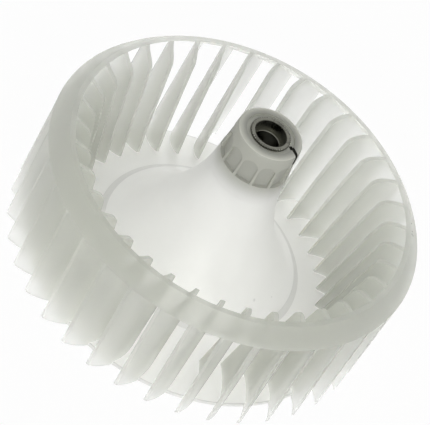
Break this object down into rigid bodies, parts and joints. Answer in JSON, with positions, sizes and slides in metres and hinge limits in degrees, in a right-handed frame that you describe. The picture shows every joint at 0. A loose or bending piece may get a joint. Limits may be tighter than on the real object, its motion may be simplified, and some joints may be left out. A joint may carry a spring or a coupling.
{
  "type": "dryer fan impeller",
  "caption": "Centrifugal fan impeller with forward-curved blades, conical ring, dished back plate and a tall bell-shaped hub.",
  "frame": {"origin": "on the fan axis, in the plane of the flat underside of the plate rim and blades", "axes": "+Z along the fan axis, from the back plate towards the hub's open end"},
  "size_m": [0.2006, 0.2006, 0.1066],
  "materials": {
    "moulding": "satin, translucent",
    "sleeve": "dark oiled steel"
  },
  "bodies": {
    "root": {"impeller": "moulding", "hub_sleeve": "sleeve"}
  },
  "joints": []
}
